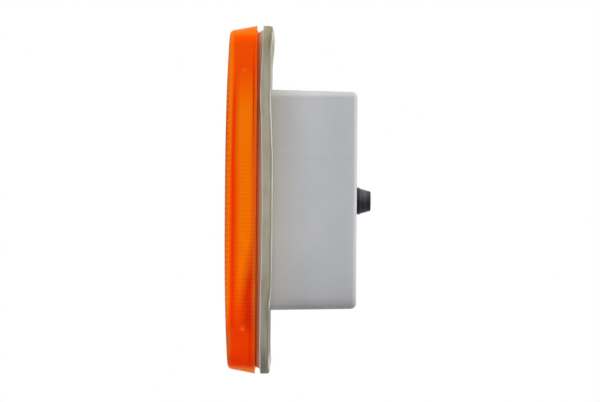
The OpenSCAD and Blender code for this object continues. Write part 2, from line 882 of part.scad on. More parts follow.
// Two wires that leave the stem side by side and spread to the ends of the filament.
module bulb_leads() {
    root_y = stem_tip - lead_root_l;
    bend_y = root_y - lead_spread_l;
    color([0.6, 0.6, 0.6])
        for (side = [-1, 1]) {
            rod(root_y, glass_rear, lead_r, [side * lead_root_x, 0]);
            lead([side * lead_root_x, root_y, 0], [side * lead_x, bend_y, 0]);
            lead([side * lead_x, bend_y, 0], [side * lead_x, filament_y, 0]);
        }
}

// A straight stretch of wire with round ends.
module lead(from, to) {
    hull() {
        translate(from)
            sphere(r = lead_r, $fn = 16);
        translate(to)
            sphere(r = lead_r, $fn = 16);
    }
}

module bulb_filament() {
    reach = lead_x - lead_r - filament_wire_r;
    color([0.5, 0.5, 0.5])
        translate([0, filament_y, 0])
            rotate([0, 0, 90])
                coil(-reach, reach, filament_r, filament_wire_r, filament_turns, 10, 6);
}

// The cap is rolled in at the rear round the glass insulator.
module bulb_cap() {
    inner_r = cap_r - cap_t;
    color([0.8, 0.7, 0.42])
        difference() {
            turned([
                [inner_r, cap_front],
                [cap_r, cap_front],
                [cap_r, cap_rear - 2 * cap_bevel],
                [cap_r - cap_bevel, cap_rear - cap_bevel / 2],
                [cap_r - cap_roll, cap_rear],
                [cap_r - cap_roll, cap_rear - cap_t],
                [inner_r - cap_bevel / 2, cap_rear - cap_t - cap_bevel],
                [inner_r, cap_rear - cap_t - 2 * cap_bevel]
            ]);
            translate([0, pin_y, 0])
                cylinder(h = cap_d + over, r = pin_d / 2 + fit_gap, center = true);
        }
}

module bulb_pins() {
    pin_root = cap_r - cap_t - 0.3;
    color([0.8, 0.7, 0.42])
        for (side = [0, 180])
            rotate([0, side, 0])
                translate([0, pin_y, pin_root])
                    cylinder(h = shell_r + 0.2 - pin_root, r = pin_d / 2);
}

module bulb_insulator() {
    skirt_r = cap_r - cap_t - cap_bevel;
    neck_r = cap_r - cap_roll - fit_gap;
    color([0.1, 0.1, 0.12])
        turned([
            [0, cap_rear - insulator_l], [skirt_r, cap_rear - insulator_l],
            [skirt_r, cap_rear - insulator_skirt],
            [neck_r, cap_rear - cap_t - cap_bevel], [neck_r, cap_rear],
            [contact_r + insulator_h, insulator_rear], [0, insulator_rear]
        ]);
}

module bulb_contact() {
    color([0.7, 0.7, 0.72])
        rod(insulator_rear, contact_rear, contact_r, [0, 0], contact_r * 0.8);
}

lens();
lens_screws();
screw_washers();
screw_inserts();
lens_seal();
housing();
panel_gasket();
grommet();
reflector();
reflector_screws();
holder_bracket();
holder_rivets();
holder_shell();
holder_base();
contact_disc();
contact_plunger();
contact_spring();
live_terminal();
earth_terminal();
bulb_glass();
bulb_stem();
bulb_leads();
bulb_filament();
bulb_cap();
bulb_pins();
bulb_insulator();
bulb_contact();
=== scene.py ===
# Vehicle indicator lamp, dressed round its solids.
# Lengths are in metres, in the frame of the solids: X across, Y from front to rear, Z up.

import math

import bmesh
import bpy
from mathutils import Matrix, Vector, noise


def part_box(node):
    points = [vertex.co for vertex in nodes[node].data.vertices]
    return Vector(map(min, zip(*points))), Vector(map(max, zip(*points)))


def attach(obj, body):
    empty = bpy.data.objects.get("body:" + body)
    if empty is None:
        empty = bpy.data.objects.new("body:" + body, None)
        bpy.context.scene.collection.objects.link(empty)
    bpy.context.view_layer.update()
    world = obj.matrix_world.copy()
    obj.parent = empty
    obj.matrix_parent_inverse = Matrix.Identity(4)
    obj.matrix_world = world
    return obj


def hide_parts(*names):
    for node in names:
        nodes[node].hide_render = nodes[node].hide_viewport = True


MM = 0.001

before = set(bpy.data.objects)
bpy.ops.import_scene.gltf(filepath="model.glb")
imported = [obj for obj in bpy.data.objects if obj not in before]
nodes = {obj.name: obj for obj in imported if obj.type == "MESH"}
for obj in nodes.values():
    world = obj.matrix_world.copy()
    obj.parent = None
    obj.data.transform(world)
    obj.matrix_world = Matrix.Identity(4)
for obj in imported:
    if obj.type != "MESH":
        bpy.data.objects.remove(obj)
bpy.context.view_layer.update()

lens_low, lens_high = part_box("lens")
grommet_low, grommet_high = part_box("grommet")
gasket_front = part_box("panel_gasket")[0].y
housing_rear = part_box("housing")[1].y
well_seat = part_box("screw_washers")[1].y

# Outline of the lamp and steps of its rings
lens_w = lens_high.x - lens_low.x
lens_h = lens_high.z - lens_low.z
lens_corner_r = 10 * MM
least_corner_r = 0.8 * MM
corner_steps = 12

# Lens, from its rim at the rear to its front
lens_rear = lens_high.y
lens_front = lens_low.y
lens_depth = lens_rear - lens_front
lens_draft = math.radians(9.5)
lens_edge_r = 2.6 * MM
lens_edge_steps = 8
lens_bow = 2.2 * MM
bow_power = 2.8
lens_front_wall = 2.6 * MM
lens_skirt = 2.2 * MM
lens_groove_depth = 6 * MM
rib_inset = 4.6 * MM
cavity_inset = 6.2 * MM
cavity_fillet = 1.2 * MM
cavity_fillet_steps = 4
rim_round = 0.25 * MM
lens_rows = 640

# Flutes inside the front, which run across, and ridges inside the sides, which run from front to rear
flute_pitch = 2.75 * MM
flute_height = 0.35 * MM
ridge_pitch = 2.07 * MM
ridge_height = 0.16 * MM
ridge_end = 9 * MM
ridge_fade = 4 * MM

# Wells for the lens screws. The post round a well starts inside the front wall.
screw_z = 67 * MM
well_r = 4.4 * MM
well_wall = 1.5 * MM
boss_front = well_seat + 1.8 * MM
screw_hole_r = 2.3 * MM
post_root = lens_front + 0.6 * lens_front_wall

# How far a cutting shape passes what it cuts, and a length that counts as none
overshoot = 1 * MM
tiny = 1e-9

# Segments of round shapes, and the angle above which an edge stays sharp
well_segments = 64
screw_hole_segments = 32
panel_hole_segments = 48
boot_segments = 96
floor_segments = 96
lens_sharp = 30
gasket_sharp = 40
boot_sharp = 50
solid_sharp = 32


def srgb(r, g, b):
    """Linear colour of an 8-bit one."""
    return [((c / 255 + 0.055) / 1.055) ** 2.4 if c > 10 else c / 255 / 12.92 for c in (r, g, b)] + [1.0]


def bow_at(z):
    """How far the front of the lens falls back at height z."""
    return lens_bow * abs(z / (lens_h / 2)) ** bow_power


def rounded(w, h, r, rows=1, cols=1):
    """Points (x, z) of a rounded rectangle, from its right side over the top to the left and back."""
    cx = w / 2 - r
    cz = h / 2 - r
    points = []

    def arc(x, z, start):
        for s in range(corner_steps + 1):
            a = math.radians(start + 90 * s / corner_steps)
            points.append((x + r * math.cos(a), z + r * math.sin(a)))

    arc(cx, cz, 0)
    points.extend((cx - 2 * cx * k / cols, h / 2) for k in range(1, cols))
    arc(-cx, cz, 90)
    points.extend((-w / 2, cz - 2 * cz * k / rows) for k in range(1, rows))
    arc(-cx, -cz, 180)
    points.extend((-cx + 2 * cx * k / cols, -h / 2) for k in range(1, cols))
    arc(cx, -cz, 270)
    points.extend((w / 2, -cz + 2 * cz * k / rows) for k in range(1, rows))
    return points


def lamp_outline(inset, rows=1, cols=1):
    """Outline of the lamp, moved inward."""
    r = max(lens_corner_r - inset, least_corner_r)
    return rounded(lens_w - 2 * inset, lens_h - 2 * inset, r, rows, cols)


def loft(bm, rings, closed=False, finish_of=None):
    """Joins rings of equal length with quads and returns their vertices. A band may have its own finish."""
    made = [[bm.verts.new(p) for p in ring] for ring in rings]
    count = len(rings[0])
    following = made[1:] + made[:1] if closed else made[1:]
    for band, (a, b) in enumerate(zip(made, following)):
        for i in range(count):
            j = (i + 1) % count
            face = bm.faces.new((a[i], a[j], b[j], b[i]))
            face.material_index = finish_of[band] if finish_of else 0
    return made


def close_across(bm, ring, rows, cols):
    """Closes a ring of vertices with strips across X, so that the face may follow a bow."""
    c = corner_steps
    left = ring[c + cols : 3 * c + cols + rows + 1]
    right = ring[c::-1] + ring[: 3 * c + 2 * cols + rows - 1 : -1]
    last = len(left) - 2
    for j in range(last + 1):
        face = [right[j], left[j], left[j + 1], right[j + 1]]
        if j == 0:
            face = ring[c : c + cols + 1] + [left[1], right[1]]
        if j == last:
            bottom = 3 * c + cols + rows
            face = ring[bottom : bottom + cols + 1] + [right[last], left[last]]
        bm.faces.new(face)


def new_object(name, bm, sharp_degrees=lens_sharp):
    """Makes an object of a bmesh, smooth but for its sharp edges."""
    bmesh.ops.recalc_face_normals(bm, faces=bm.faces)
    mesh = bpy.data.meshes.new(name)
    bm.to_mesh(mesh)
    bm.free()
    obj = bpy.data.objects.new(name, mesh)
    bpy.context.scene.collection.objects.link(obj)
    shade(obj, sharp_degrees)
    return obj


def shade(obj, sharp_degrees):
    """Smooth faces with edges kept sharp above an angle."""
    for face in obj.data.polygons:
        face.use_smooth = True
    obj.data.set_sharp_from_angle(angle=math.radians(sharp_degrees))


def boolean(obj, tool, operation):
    """Unites obj with a tool or cuts the tool out of it, and removes the tool."""
    modifier = obj.modifiers.new(operation, "BOOLEAN")
    modifier.object = tool
    modifier.operation = operation
    modifier.solver = "EXACT"
    graph = bpy.context.evaluated_depsgraph_get()
    mesh = bpy.data.meshes.new_from_object(obj.evaluated_get(graph))
    obj.modifiers.clear()
    obj.data = mesh
    bpy.data.objects.remove(tool)


def turned(name, profile, segments, place=(0, 0), sharp_degrees=lens_sharp):
    """A turned piece along Y from points (radius, y). A point on the axis has radius 0."""
    bm = bmesh.new()
    rings = []
    for r, y in profile:
        if r < tiny:
            rings.append([bm.verts.new((place[0], y, place[1]))])
            continue
        angles = [2 * math.pi * k / segments for k in range(segments)]
        ring = [(place[0] + r * math.cos(a), y, place[1] + r * math.sin(a)) for a in angles]
        rings.append([bm.verts.new(p) for p in ring])
    closed = len(rings[0]) > 1 and len(rings[-1]) > 1
    for a, b in zip(rings, rings[1:] + (rings[:1] if closed else [])):
        for i in range(segments):
            j = (i + 1) % segments
            corners = [a[i % len(a)], a[j % len(a)], b[j % len(b)], b[i % len(b)]]
            bm.faces.new(list(dict.fromkeys(corners)))
    return new_object(name, bm, sharp_degrees)


def cylinder(name, r, front, rear, segments, place):
    """A cylinder along Y."""
    return turned(name, [(0, front), (r, front), (r, rear), (0, rear)], segments, place)


# Lens

def drafted_edge():
    """Steps (inset, distance from the rim) of the drafted side that ends in a rounded edge."""
    to_centre = lens_depth - lens_edge_r
    in_centre = to_centre * math.tan(lens_draft) + lens_edge_r / math.cos(lens_draft)
    steps = []
    for s in range(lens_edge_steps + 1):
        a = lens_draft + (math.pi / 2 - lens_draft) * s / lens_edge_steps
        steps.append((in_centre - lens_edge_r * math.cos(a), to_centre + lens_edge_r * math.sin(a)))
    return steps


def bowed_ring(inset, step):
    """A ring at a distance from the rim, which follows the bow of the front."""
    return [
        (x, lens_rear - step + bow_at(z) * step / lens_depth, z)
        for x, z in lamp_outline(inset, lens_rows)
    ]


def flat_ring(inset, y):
    """A ring at one depth."""
    return [(x, y, z) for x, z in lamp_outline(inset, lens_rows)]


def ridge_at(z):
    """Height of the ridges inside the sides, which fade out at the ends."""
    fade = min(1, max(0, (lens_h / 2 - abs(z) - ridge_end) / ridge_fade))
    return ridge_height * fade * (0.5 - 0.5 * math.cos(2 * math.pi * z / ridge_pitch))


def cavity_ring(inset, y_of):
    """A ring on the inside of the sides, with their ridges."""
    half_w = lens_w / 2 - inset
    ring = []
    for x, z in lamp_outline(inset, lens_rows):
        if abs(abs(x) - half_w) < tiny:
            x -= math.copysign(ridge_at(z), x)
        ring.append((x, y_of(z), z))
    return ring


def inner_front(z, share):
    """Depth of the inside of the front at height z, with a share of the height of its flutes."""
    wave = abs(math.sin(math.pi * z / flute_pitch))
    return lens_front + lens_front_wall + bow_at(z) + share * flute_height * wave


def make_lens():
    """The moulding with its skirt, groove and rib at the rear, its fluted inside and its screw wells."""
    bm = bmesh.new()
    outer = [bowed_ring(inset, step) for inset, step in reversed(drafted_edge())]
    slope = math.tan(lens_draft)
    rim = [
        bowed_ring(rim_round * slope, rim_round),
        flat_ring(rim_round, lens_rear),
        flat_ring(lens_skirt, lens_rear),
        flat_ring(lens_skirt + lens_groove_depth * slope, lens_rear - lens_groove_depth),
        flat_ring(rib_inset, lens_rear - lens_groove_depth),
        flat_ring(rib_inset, lens_rear),
    ]
    cavity = [cavity_ring(cavity_inset, lambda z: lens_rear)]
    for s in range(cavity_fillet_steps + 1):
        share = s / cavity_fillet_steps
        a = math.pi / 2 * share
        inset = cavity_inset + cavity_fillet * (1 - math.cos(a))
        back = cavity_fillet * (1 - math.sin(a))
        cavity.append(cavity_ring(inset, lambda z: back + inner_front(z, share)))
    rings = loft(bm, outer + rim + cavity)
    close_across(bm, rings[0], lens_rows, 1)
    close_across(bm, rings[-1], lens_rows, 1)
    lens = new_object("lens_moulding", bm)
    for side in (-1, 1):
        place = (0, side * screw_z)
        post = cylinder("post", well_r + well_wall, post_root, boss_front, well_segments, place)
        boolean(lens, post, "UNION")
        well = cylinder("well", well_r, lens_front - overshoot, well_seat, well_segments, place)
        boolean(lens, well, "DIFFERENCE")
        hole = cylinder("hole", screw_hole_r, well_seat - overshoot, boss_front + overshoot,
                        screw_hole_segments, place)
        boolean(lens, hole, "DIFFERENCE")
    shade(lens, lens_sharp)
    return lens


# Gasket, whose land meets the panel at y = 0

gasket_rows = 220
gasket_cols = 110
flange_inset = 1.2 * MM
lip_inset = 2 * MM
lip_t = 1.2 * MM
lip_edge = 0.35 * MM
pad_t = 1.6 * MM
least_pad_t = 0.1 * MM
land_h = 0.7 * MM
land_inset = 2 * MM
land_bevel = 0.2 * MM
land_steps = 6
box_w = 76 * MM
box_h = 114.5 * MM
box_corner_r = 4 * MM
panel_gap = 0.4 * MM
panel_hole_r = 2.75 * MM
panel_x = 30 * MM
panel_z = 67 * MM
flange_front = gasket_front + lip_t
flange_rear = -pad_t
land_front = flange_rear + least_pad_t

# How far the soft rubber has pulled forward at each height, in mm, at its front and at its rear
front_bow = [(-90, -0.6), (-75, -0.9), (-52, -0.85), (-31, -0.35), (0, -0.12), (12, -0.4), (20, -0.5),
             (41, -1.0), (55, -1.5), (66, -1.1), (76, -0.5), (90, -0.1)]
rear_bow = [(-90, -0.4), (-86, -1.25), (-80, -1.5), (-60, -1.5), (-54, -1.0), (-46, -0.3), (-30, 0),
            (22, 0), (31, -0.4), (41, -0.85), (52, -1.2), (58, -1.5), (74, -1.5), (80, -0.95),
            (84, -0.5), (86.2, -0.6), (88, -0.1), (90, 0)]

# Soft waves (size, share, seed) that pull the rim inward and move it along Y
in_waves = [(14 * MM, 1, 3.1), (5 * MM, 1 / 2, 7.7)]
y_waves = [(17 * MM, 1, 1.7), (6 * MM, 1 / 3, 5.3)]

# Rings of the lip and of the pad with its land: inset, y, wave inward, wave along Y and finish
# Finishes of the bands: plain, pale with a painted highlight on the lip's edge, and painted shade in the
# groove and at the foot of the land
plain_rubber, pale_and_highlit_band, shaded_band = 0, 1, 2
lip_rings = [
    (lip_inset, gasket_front + 0.15 * MM, 0, 0.1 * MM, pale_and_highlit_band),
    (lip_inset - lip_edge / 2, gasket_front + 0.03 * MM, 0, 0.1 * MM, pale_and_highlit_band),
    (lip_edge, gasket_front, 0.12 * MM, 0.1 * MM, pale_and_highlit_band),
    (0.1 * MM, gasket_front + 0.1 * MM, 0.12 * MM, 0.1 * MM, pale_and_highlit_band),
    (0, gasket_front + lip_edge, 0.2 * MM, 0.1 * MM, plain_rubber),
    (0, gasket_front + 1.9 * MM, 0.28 * MM, 0.05 * MM, plain_rubber),
]
pad_rings = [
    (0, -land_h - 1.3 * MM, 0.28 * MM, 0.05 * MM, plain_rubber),
    (0.05 * MM, -land_h - 0.8 * MM, 0.2 * MM, 0.1 * MM, shaded_band),
    (0.4 * MM, -land_h - 0.6 * MM, 0.2 * MM, 0.1 * MM, shaded_band),
    (0.4 * MM, -land_h - 0.2 * MM, 0.12 * MM, 0.1 * MM, shaded_band),
    (0.5 * MM, -land_h, 0.12 * MM, 0.1 * MM, plain_rubber),
    (land_inset, -land_h, 0.1 * MM, 0.05 * MM, shaded_band),
    (land_inset, -0.45 * MM, 0.1 * MM, 0.05 * MM, pale_and_highlit_band),
    (land_inset, -0.2 * MM, 0.1 * MM, 0.08 * MM, pale_and_highlit_band),
    (land_inset + land_bevel, 0, 0.1 * MM, 0.08 * MM, pale_and_highlit_band),
]


def wave_at(x, z, size, height, seed):
    """A slow random wave of a soft edge."""
    return height * noise.noise(Vector((x / size, z / size, seed)))


def between(points, z):
    """A value at z on a smooth line through points (z, value)."""
    for (z0, a), (z1, b) in zip(points, points[1:]):
        if z <= z1:
            share = max(0, (z - z0) / (z1 - z0))
            share = share * share * (3 - 2 * share)
            return a + (b - a) * share
    return points[-1][1]


def land_level(z):
    """Where the rear of the gasket lies round the box at height z."""
    return max(between(rear_bow, z / MM) * MM, land_front)


def gasket_ring(inset, y, in_wave=0.0, y_wave=0.0, bow=None):
    """A ring of the gasket, moved by soft waves and by its bow, and kept off the flange and the panel."""
    ring = []
    for x, z in lamp_outline(inset, gasket_rows, gasket_cols):
        pull = sum(abs(wave_at(x, z, size, in_wave * share, seed)) for size, share, seed in in_waves)
        moved = y + sum(wave_at(x, z, size, y_wave * share, seed) for size, share, seed in y_waves)
        if bow:
            moved += between(bow, z / MM) * MM
        if bow and inset >= flange_inset and y > flange_rear:
            moved = max(moved, land_front)
        ring.append((x * (1 - pull / (lens_w / 2)), min(moved, 0), z * (1 - pull / (lens_h / 2))))
    return ring


def land_ring(opening, share):
    """A ring on the rear of the gasket, at a share of the way from its rim to the opening."""
    rim = lamp_outline(land_inset + land_bevel, gasket_rows, gasket_cols)
    ring = []
    for (x0, z0), (x1, z1) in zip(rim, opening):
        z = z0 + (z1 - z0) * share
        ring.append((x0 + (x1 - x0) * share, land_level(z), z))
    return ring


def make_gasket():
    """The lip hooks over the front of the flange, the pad lies behind it and the land meets the panel."""
    bm = bmesh.new()
    opening = rounded(box_w + 2 * panel_gap, box_h + 2 * panel_gap, box_corner_r + panel_gap,
                      gasket_rows, gasket_cols)
    soft = [(ring, front_bow) for ring in lip_rings] + [(ring, rear_bow) for ring in pad_rings]
    bands = [(gasket_ring(*ring[:4], bow), ring[4]) for ring, bow in soft]
    bands += [(land_ring(opening, step / land_steps), plain_rubber) for step in range(1, land_steps + 1)]
    bands += [
        ([(x, flange_rear, z) for x, z in opening], plain_rubber),
        (gasket_ring(flange_inset, flange_rear), plain_rubber),
        (gasket_ring(flange_inset, flange_front), plain_rubber),
        (gasket_ring(lip_inset, flange_front), plain_rubber),
    ]
    rings, finish_of = zip(*bands)
    loft(bm, rings, True, finish_of)
    gasket = new_object("gasket_rubber", bm, gasket_sharp)
    for x in (-panel_x, panel_x):
        for z in (-panel_z, panel_z):
            hole = cylinder("hole", panel_hole_r, flange_rear - overshoot, overshoot,
                            panel_hole_segments, (x, z))
            boolean(gasket, hole, "DIFFERENCE")
    shade(gasket, gasket_sharp)
    return gasket


# Grommet, whose free part sags over a short length behind the wall

boot_flange_r = 7.4 * MM
boot_tip_r = 5.45 * MM
boot_bore_r = 2.6 * MM
boot_neck_r = 5.55 * MM
boot_inner_r = 6.8 * MM
boot_inner_t = 1.2 * MM
boot_round = 0.5 * MM
bore_round = 0.3 * MM
boot_sag = 0.35 * MM
boot_sag_length = 2 * MM

# Points of the boot in mm: radius over that of the flange, the tip or the bore, and depth past the wall
# or the tip
boot_base = [(-0.2, 0), (0, 0.15), (0, 0.5), (-0.15, 0.65), (-0.3, 0.8), (-0.3, 1), (-0.1, 1.2),
             (-0.2, 1.8), (-0.5, 2.6), (-0.95, 3.3)]
boot_end = [(0.75, -3.6), (0.5, -2.7), (0.2, -1.8), (0, -1.2), (0, -0.7), (-0.15, -0.3),
            (-0.45, -0.05), (-0.8, 0)]
bore_end = [(0.9, 0), (0.3, -0.25), (0, -0.9)]


def make_grommet():
    """A tapered boot with a flange inside the wall. Its free part hangs a little."""
    front = grommet_low.y
    rear = housing_rear
    tip = grommet_high.y
    profile = [
        (boot_bore_r, front + bore_round),
        (boot_bore_r + bore_round, front),
        (boot_inner_r - boot_round, front),
        (boot_inner_r, front + boot_round),
        (boot_inner_r, front + boot_inner_t),
        (boot_neck_r, front + boot_inner_t),
        (boot_neck_r, rear),
        *((boot_flange_r + r * MM, rear + y * MM) for r, y in boot_base),
        *((boot_tip_r + r * MM, tip + y * MM) for r, y in boot_end),
        *((boot_bore_r + r * MM, tip + y * MM) for r, y in bore_end),
    ]
    boot = turned("grommet_boot", profile, boot_segments, sharp_degrees=boot_sharp)
    for vertex in boot.data.vertices:
        vertex.co.z -= boot_sag * min(1, max(0, (vertex.co.y - rear) / boot_sag_length))
    return boot


# Tools for materials. A value or colour may be a socket or plain.

along_y = (0, 1, 0)
along_z = (0, 0, 1)
cloud_places = (0.3, 0.7)
streak_places = (0.3, 0.5, 0.7)


def new_material(name):
    """A material with one shader, returned with its node tree."""
    material = bpy.data.materials.new(name)
    material.use_nodes = True
    tree = material.node_tree
    tree.nodes.clear()
    output = tree.nodes.new("ShaderNodeOutputMaterial")
    shader = tree.nodes.new("ShaderNodeBsdfPrincipled")
    tree.links.new(shader.outputs["BSDF"], output.inputs["Surface"])
    return material, tree, shader


def feed(tree, value, socket):
    """Links a socket to another, or sets it to a plain value."""
    if isinstance(value, bpy.types.NodeSocket):
        tree.links.new(value, socket)
    else:
        socket.default_value = value


def noise_of(tree, scale, detail=3.0, roughness=0.55, stretch=(1, 1, 1)):
    """Noise by place on the object. Returns its value output."""
    coords = tree.nodes.new("ShaderNodeTexCoord")
    mapping = tree.nodes.new("ShaderNodeMapping")
    mapping.inputs["Scale"].default_value = stretch
    made = tree.nodes.new("ShaderNodeTexNoise")
    made.inputs["Scale"].default_value = scale
    made.inputs["Detail"].default_value = detail
    made.inputs["Roughness"].default_value = roughness
    tree.links.new(coords.outputs["Object"], mapping.inputs["Vector"])
    tree.links.new(mapping.outputs["Vector"], made.inputs["Vector"])
    return made.outputs["Fac"]


def range_of(tree, value, low, high, to_low=0.0, to_high=1.0, clamp=True):
    """A value that runs from low to high, turned into one that runs between two others."""
    to_range = tree.nodes.new("ShaderNodeMapRange")
    to_range.clamp = clamp
    to_range.inputs["From Min"].default_value = low
    to_range.inputs["From Max"].default_value = high
    to_range.inputs["To Min"].default_value = to_low
    to_range.inputs["To Max"].default_value = to_high
    tree.links.new(value, to_range.inputs["Value"])
    return to_range.outputs["Result"]


def math_of(tree, operation, a, *others):
    """Works through values from the first to the last."""
    total = a
    for b in others:
        step = tree.nodes.new("ShaderNodeMath")
        step.operation = operation
        for socket, value in zip(step.inputs, (total, b)):
            feed(tree, value, socket)
        total = step.outputs["Value"]
    return total


def place_of(tree, direction, low, high, clamp=True):
    """A value that runs from 0 at low to 1 at high along a direction of the object."""
    coords = tree.nodes.new("ShaderNodeTexCoord")
    along = tree.nodes.new("ShaderNodeVectorMath")
    along.operation = "DOT_PRODUCT"
    along.inputs[1].default_value = direction
    tree.links.new(coords.outputs["Object"], along.inputs[0])
    return range_of(tree, along.outputs["Value"], low, high, clamp=clamp)


def distance_of(tree, point, directions):
    """Distance across some directions from a point, which is given for one corner and counts for each."""
    coords = tree.nodes.new("ShaderNodeTexCoord")
    folded = tree.nodes.new("ShaderNodeVectorMath")
    folded.operation = "ABSOLUTE"
    flat = tree.nodes.new("ShaderNodeVectorMath")
    flat.operation = "MULTIPLY"
    flat.inputs[1].default_value = directions
    away = tree.nodes.new("ShaderNodeVectorMath")
    away.operation = "DISTANCE"
    away.inputs[1].default_value = point
    tree.links.new(coords.outputs["Object"], folded.inputs[0])
    tree.links.new(folded.outputs["Vector"], flat.inputs[0])
    tree.links.new(flat.outputs["Vector"], away.inputs[0])
    return away.outputs["Value"]


def stripes_of(tree, direction, pitch, middle, blur=0.3):
    """Stripes across a direction: 1 on a stripe and 0 between two. A higher middle makes them narrower."""
    turns = place_of(tree, direction, 0, pitch, False)
    wave = tree.nodes.new("ShaderNodeMath")
    wave.operation = "SINE"
    tree.links.new(math_of(tree, "MULTIPLY", turns, 2 * math.pi), wave.inputs[0])
    return range_of(tree, wave.outputs["Value"], middle - blur, middle + blur)


def facing_of(tree, axis, low, high):
    """0 where the surface is turned away from an axis, 1 where it faces along it, either way."""
    geometry = tree.nodes.new("ShaderNodeNewGeometry")
    split = tree.nodes.new("ShaderNodeSeparateXYZ")
    size = tree.nodes.new("ShaderNodeMath")
    size.operation = "ABSOLUTE"
    tree.links.new(geometry.outputs["Normal"], split.inputs["Vector"])
    tree.links.new(split.outputs[axis], size.inputs[0])
    return range_of(tree, size.outputs["Value"], low, high)


def ramp_of(tree, value, stops):
    """Colours at stops (position, colour), blended along a value."""
    ramp = tree.nodes.new("ShaderNodeValToRGB")
    elements = ramp.color_ramp.elements
    elements[0].position, elements[0].color = stops[0]
    elements[1].position, elements[1].color = stops[-1]
    for position, colour in stops[1:-1]:
        elements.new(position).color = colour
    tree.links.new(value, ramp.inputs["Fac"])
    return ramp.outputs["Color"]


def levels_of(tree, value, levels):
    """Greys at places (position, level) along a value, to shade a colour with."""
    return ramp_of(tree, value, [(position, (level, level, level, 1)) for position, level in levels])


def clouds_of(tree, cloud, dark, light):
    """Two colours in the clouds of a noise."""
    return ramp_of(tree, cloud, list(zip(cloud_places, (dark, light))))


def mix_of(tree, share, a, b, blend="MIX"):
    """Blends two colours."""
    mix = tree.nodes.new("ShaderNodeMix")
    mix.data_type = "RGBA"
    mix.blend_type = blend
    for value, name in ((share, "Factor"), (a, "A"), (b, "B")):
        feed(tree, value, next(s for s in mix.inputs if s.name == name and s.enabled))
    return next(s for s in mix.outputs if s.enabled)


def tinted(tree, colour, tint, share=1.0):
    """A colour multiplied by a tint, in full or by a share."""
    return mix_of(tree, share, colour, tint, "MULTIPLY")


def bump_of(tree, shader, height, strength, distance):
    """Bump of a shader from a height."""
    bump = tree.nodes.new("ShaderNodeBump")
    bump.inputs["Strength"].default_value = strength
    bump.inputs["Distance"].default_value = distance
    tree.links.new(height, bump.inputs["Height"])
    tree.links.new(bump.outputs["Normal"], shader.inputs["Normal"])


def roughness_of(tree, shader, value, low, high):
    """Roughness of a shader that follows a value between two limits."""
    tree.links.new(range_of(tree, value, 0, 1, low, high), shader.inputs["Roughness"])


# Ambers of the lens, painted with the light that comes through it: pale where light runs along a wall, red
# where it comes through a thick one
edge_amber = srgb(217, 94, 26)
pale_amber = srgb(253, 121, 16)
orange = srgb(255, 121, 5)
burnt_orange = srgb(243, 97, 8)
red_orange = srgb(251, 79, 4)
rim_red = srgb(229, 71, 5)
deep_red = srgb(249, 55, 3)
dark_red = srgb(221, 46, 6)
low_red = srgb(240, 60, 4)
# Red of the painted shadow line near the rim
shadow_line_red = srgb(205, 56, 3)
# Painted light on the rounded ends of the lens
lit_end_amber = srgb(231, 109, 4)

# Colours of the sides of the lens from its front at 0 to its rim at 1, which paint the light through the
# walls
middle_side = [(0.0, edge_amber), (0.09, pale_amber), (0.13, pale_amber), (0.24, deep_red),
               (0.29, deep_red), (0.5, orange), (0.78, orange), (0.9, burnt_orange), (1.0, edge_amber)]
upper_side = [(0.0, edge_amber), (0.1, pale_amber), (0.16, pale_amber), (0.235, deep_red),
              (0.275, deep_red), (0.35, burnt_orange), (0.45, orange), (0.76, orange),
              (0.9, burnt_orange), (0.96, edge_amber)]
top_side = [(0.0, edge_amber), (0.03, pale_amber), (0.16, pale_amber), (0.25, red_orange),
            (0.9, red_orange), (0.96, edge_amber)]
lower_side = [(0.0, edge_amber), (0.08, burnt_orange), (0.15, burnt_orange), (0.24, deep_red),
              (0.42, red_orange), (0.52, red_orange), (0.75, dark_red), (0.85, dark_red),
              (0.95, edge_amber)]
bottom_side = [(0.14, edge_amber), (0.2, edge_amber), (0.25, low_red), (0.76, low_red),
               (0.84, dark_red), (0.95, rim_red)]
# Where the painted shadow line near the rim lies, by depth
shadow_line_levels = [(0.865, 0), (0.888, 1), (0.912, 1), (0.935, 0)]

# Zones where one look of the sides gives way to another: from where it has none to where it is full
upper_zone = (8 * MM, 28 * MM)
top_zone = (46 * MM, 67 * MM)
lower_zone = (16 * MM, -6 * MM)
low_slant = (0, -3.2, 1)
bottom_zone = (-63 * MM, -69.5 * MM)
lean_zone = (20 * MM, 66 * MM)
upper_lean = 0.05
low_shade = (0.95, 0.72, 0.9, 1.0)
low_shade_zone = (-52 * MM, -64 * MM)
foot_shade_zone = (-76 * MM, -82 * MM)
# Heights of the painted shadow line near the rim
shadow_line_zones = [(8 * MM, 48 * MM), (82 * MM, 64 * MM)]
# Heights of the painted light on the rounded ends of the lens
lit_end_zones = [(83.6 * MM, 85.6 * MM), (-85.2 * MM, -86.8 * MM)]

# Painted light in the sides: the glints of the screw heads seen through the lens, and the shading of the
# flutes at the front and of the ridges behind them
screw_glint = (1.0, 0.2, 0.02, 1.0)
glint_place = (0, 14.9 * MM, 66.4 * MM)
glint_r = (1.8 * MM, 0.3 * MM)
glint_share = 0.45
flute_shading = (0.85, 0.74, 0.7, 1.0)
flute_middle = 0.1
flute_depths = (-22.4 * MM, -22.9 * MM)
ridge_shading = (0.88, 0.74, 0.78, 1.0)
ridge_depths = (-19.8 * MM, -17.6 * MM)
ridge_zones = [(60 * MM, -45 * MM), (-74 * MM, -60 * MM)]

# Clear faces at the front and the rear of the lens, by how squarely they face along Y
front_amber = (1.0, 0.4, 0.03, 1.0)
front_facing = (0.93, 0.99)
amber_gloss = (1.0, 0.28, 0.02, 1.0)
side_clearness = 0.06
side_gloss = 0.1


def heights_of(tree, zones):
    """The heights that lie in each of some zones."""
    return [place_of(tree, along_z, *zone) for zone in zones]


